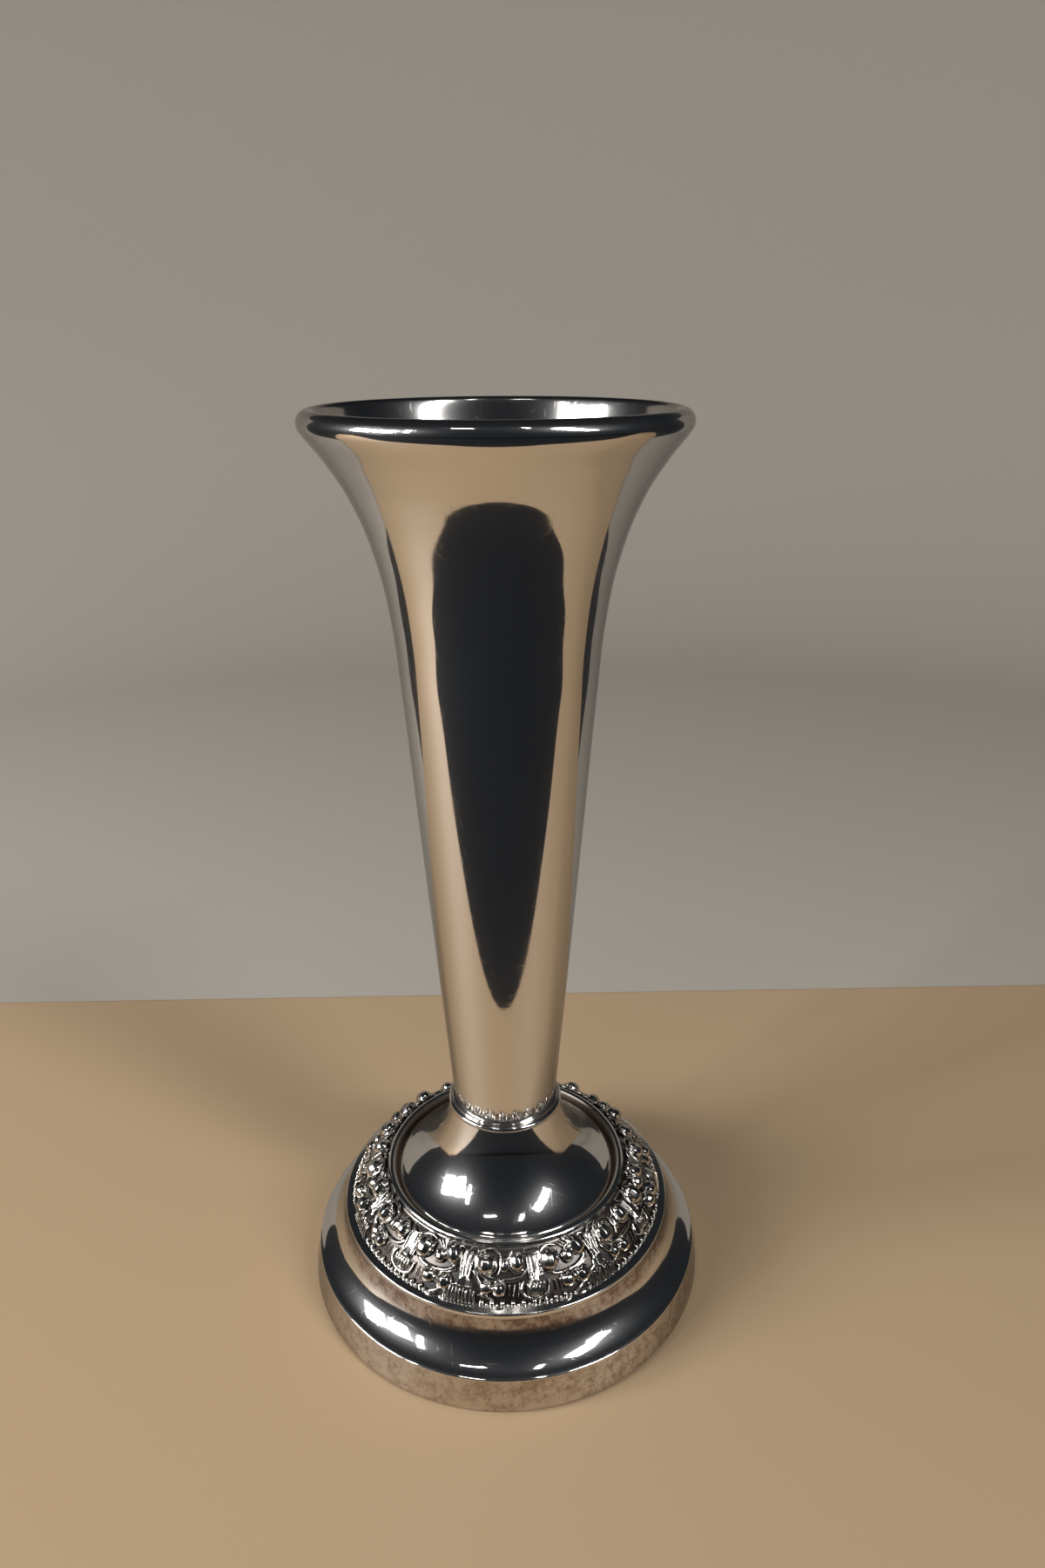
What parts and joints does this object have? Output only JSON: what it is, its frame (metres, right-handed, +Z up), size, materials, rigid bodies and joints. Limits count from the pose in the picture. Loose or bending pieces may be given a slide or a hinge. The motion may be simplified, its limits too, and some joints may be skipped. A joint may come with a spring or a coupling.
{
  "type": "trumpet vase",
  "caption": "Slim silver-plated trumpet vase with a flared rolled lip, standing on a loaded round foot with a ring of scroll and bud ornament.",
  "frame": {"origin": "centre of the foot on the surface that the vase stands on, under the felt", "axes": "+Z up along the axis of the vase, -Y towards the side seen from the front, +X to its right"},
  "size_m": [0.0838, 0.0838, 0.178],
  "materials": {
    "silver_plate": "bright silver plate on spun brass, polished, lightly worn",
    "silver_ornament": "bright silver plate with brown tarnish in the recesses",
    "brass": "plain turned brass",
    "steel": "zinc-dull steel",
    "cast_iron": "rough sand-cast",
    "pitch": "black pitch",
    "felt": "dark green baize felt"
  },
  "bodies": {
    "root": {"trumpet": "silver_plate", "trumpet_bottom": "brass", "threaded_stud": "steel", "collar_bead": "silver_plate", "stem_bell": "silver_plate", "border_mount": "silver_ornament", "foot_skirt": "silver_plate", "weight": "cast_iron", "pitch_bedding": "pitch", "clamp_washer": "steel", "spring_washer": "steel", "hex_nut": "brass", "base_plate": "steel", "felt_pad": "felt"}
  },
  "joints": []
}
